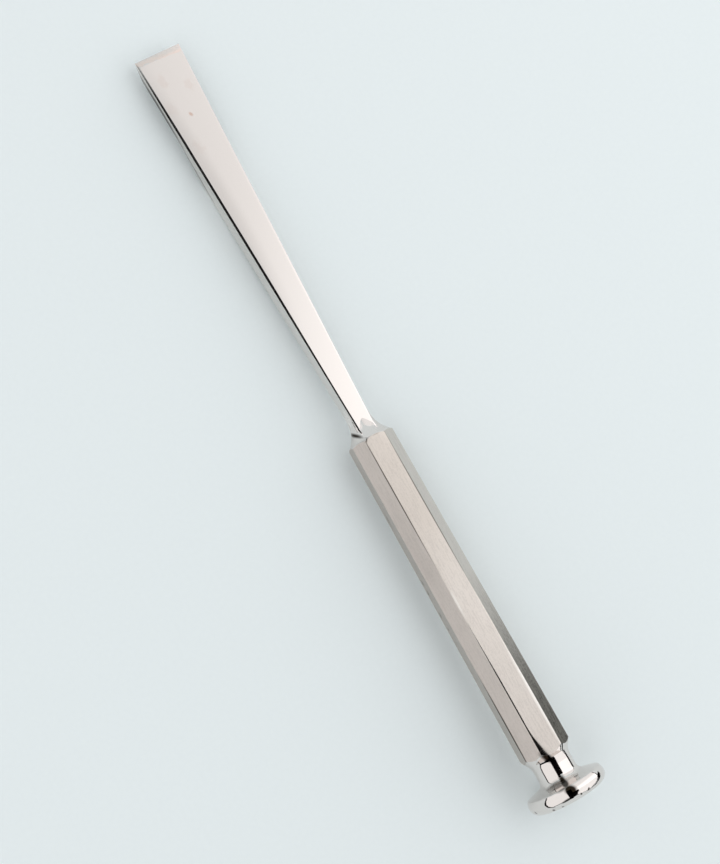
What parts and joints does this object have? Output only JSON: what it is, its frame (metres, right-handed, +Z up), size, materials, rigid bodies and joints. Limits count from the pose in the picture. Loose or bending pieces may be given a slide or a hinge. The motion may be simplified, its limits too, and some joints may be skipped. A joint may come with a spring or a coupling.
{
  "type": "bone chisel",
  "caption": "One-piece stainless steel bone chisel: flared flat blade, octagonal satin handle and a polished mushroom head for the mallet.",
  "frame": {"origin": "on the ground under the middle of the chisel as it lies, which is the bottom centre of its box", "axes": "+X from the striking head towards the cutting edge, +Z up out of the flat face of the blade, +Y across the blade"},
  "size_m": [0.203, 0.0199, 0.0199],
  "materials": {
    "stainless_steel": "satin-ground blade and handle, mirror-polished neck and head"
  },
  "bodies": {
    "root": {"bone_chisel": "stainless_steel"}
  },
  "joints": []
}
